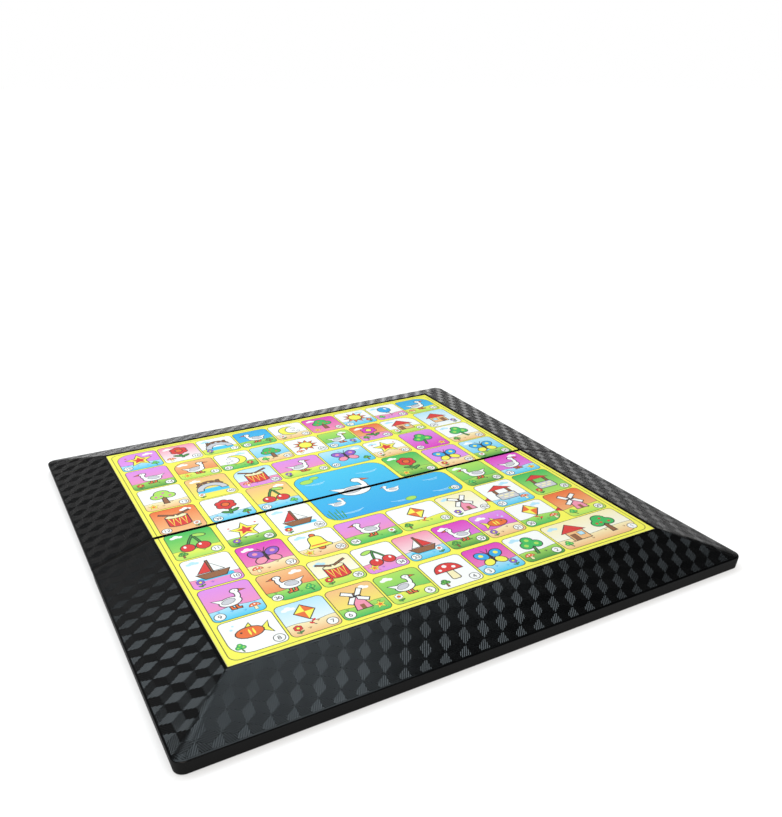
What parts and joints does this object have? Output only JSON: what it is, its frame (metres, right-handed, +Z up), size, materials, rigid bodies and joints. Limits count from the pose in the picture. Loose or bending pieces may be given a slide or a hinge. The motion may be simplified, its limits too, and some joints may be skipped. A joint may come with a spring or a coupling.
{
  "type": "folding game board",
  "caption": "Square folding board-game case: hinged hollow halves with a sloping patterned rim and a recessed printed sheet on top for a spiral track game.",
  "frame": {"origin": "on the table under the middle of the open board", "axes": "+Z up through the play face, X along the hinge seam, the near half at -Y and the far half at +Y"},
  "size_m": [0.4, 0.4, 0.0215],
  "materials": {
    "case_plastic": "black, satin, with a moulded pattern of hatched rhombi on the rim",
    "printed_card": "coloured print with a smooth coat",
    "pin_steel": "drawn wire"
  },
  "bodies": {
    "near_half": {"near_shell": "case_plastic", "near_game_sheet": "printed_card", "left_hinge_pin": "pin_steel", "right_hinge_pin": "pin_steel"},
    "far_half": {"far_shell": "case_plastic", "far_game_sheet": "printed_card"}
  },
  "joints": [
    {"name": "fold", "type": "hinge", "parent": "near_half", "child": "far_half", "pos_m": [0, 0, 0.0027], "axis": [-1, 0, 0], "range_deg": [0, 180]}
  ]
}
